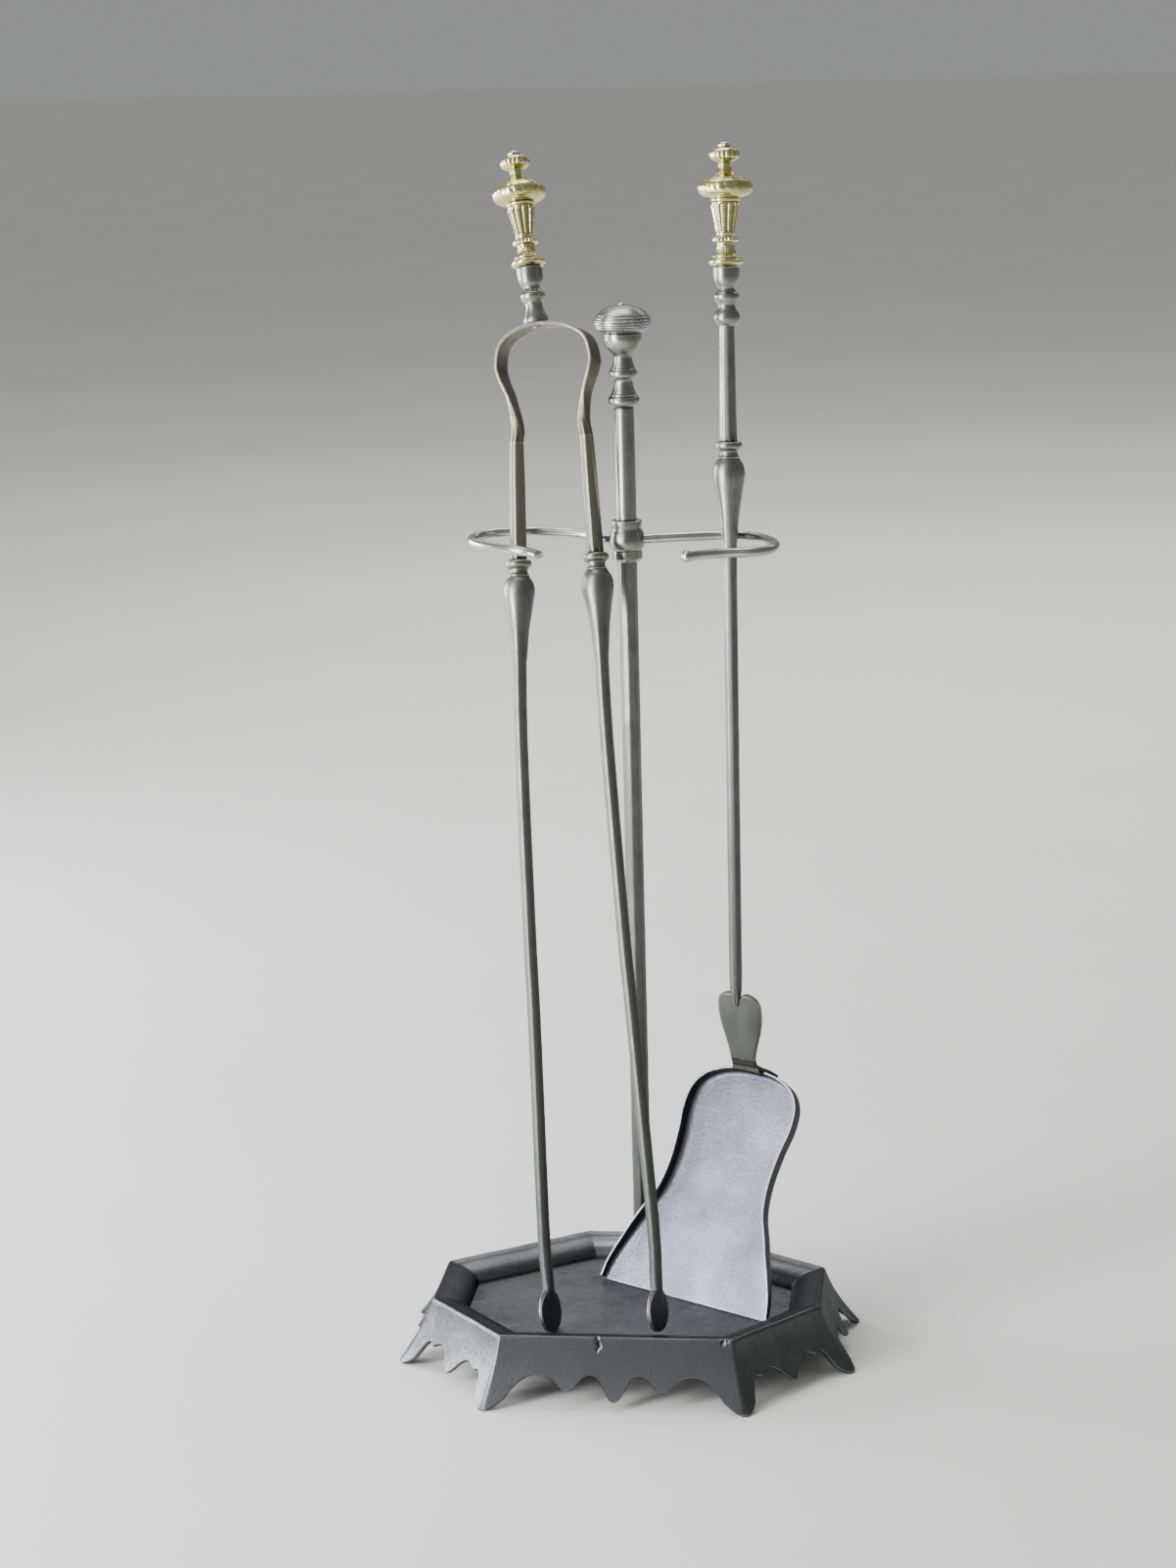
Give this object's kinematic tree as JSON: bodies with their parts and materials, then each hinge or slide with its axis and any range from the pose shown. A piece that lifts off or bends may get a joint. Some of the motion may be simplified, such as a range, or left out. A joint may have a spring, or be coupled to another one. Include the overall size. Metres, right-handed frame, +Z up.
{
  "type": "fireplace tool set",
  "caption": "Hearth tool stand with an eight-sided cast tray, a knobbed post and two open hooks, holding spring tongs and a small shovel with brass handles.",
  "frame": {"origin": "bottom centre of the bounding box, on the floor", "axes": "+Z up, -Y towards the front of the tray, +X towards the shovel"},
  "size_m": [0.2808, 0.2563, 0.7339],
  "materials": {
    "cast_iron": "blackened casting, worn bright on the rim",
    "sheet_iron": "dark mottled sheet",
    "forged_steel": "burnished dark steel",
    "bow_steel": "burnished spring strip with bright edges",
    "pan_steel": "pale blue-grey, finely pitted sheet",
    "brass": "polished with dark recesses"
  },
  "bodies": {
    "stand": {"base_casting": "cast_iron", "tray_floor": "sheet_iron", "floor_rivet_1": "cast_iron", "floor_rivet_2": "cast_iron", "floor_rivet_3": "cast_iron", "floor_rivet_4": "cast_iron", "lower_post": "forged_steel", "post_washer": "forged_steel", "post_nut": "forged_steel", "hub": "forged_steel", "left_hook": "forged_steel", "right_hook": "forged_steel", "upper_post": "forged_steel", "knob_cup": "forged_steel", "knob_cap": "forged_steel", "knob_nub": "forged_steel"},
    "tongs": {"tongs_button": "brass", "tongs_bowl": "brass", "tongs_vase": "brass", "tongs_bell": "brass", "tongs_ferrule": "forged_steel", "tongs_tang": "forged_steel", "tongs_bow": "bow_steel"},
    "tongs_left": {"tongs_left_leg": "forged_steel"},
    "tongs_right": {"tongs_right_leg": "forged_steel"},
    "shovel": {"shovel_button": "brass", "shovel_bowl": "brass", "shovel_vase": "brass", "shovel_bell": "brass", "shovel_ferrule": "forged_steel", "shovel_shaft": "forged_steel", "shovel_leaf": "forged_steel", "shovel_pan": "pan_steel", "leaf_rivet_left": "forged_steel", "leaf_rivet_right": "forged_steel"}
  },
  "joints": [
    {"name": "tongs_lift", "type": "slide", "parent": "stand", "child": "tongs", "axis": [-0.0807, 0.2679, 0.9601], "range_m": [0, 0.5]},
    {"name": "tongs_right_pinch", "type": "hinge", "parent": "tongs", "child": "tongs_right", "pos_m": [-0.0517, 0.08735, 0.624], "axis": [0.1345, 0.9569, -0.2575], "range_deg": [0, 2.9], "stiffness_Nm_per_rad": 40, "deforming": ["tongs_bow"]},
    {"name": "tongs_left_pinch", "type": "hinge", "parent": "tongs", "child": "tongs_left", "pos_m": [-0.0517, 0.08735, 0.624], "axis": [-0.1345, -0.9569, 0.2575], "range_deg": [0, 2.9], "stiffness_Nm_per_rad": 40},
    {"name": "shovel_lift", "type": "slide", "parent": "stand", "child": "shovel", "axis": [-0.0033, 0.0561, 0.9984], "range_m": [0, 0.28]}
  ],
  "couplings": [
    {"joint": "tongs_left_pinch", "follows": "tongs_right_pinch", "ratio": 1}
  ]
}
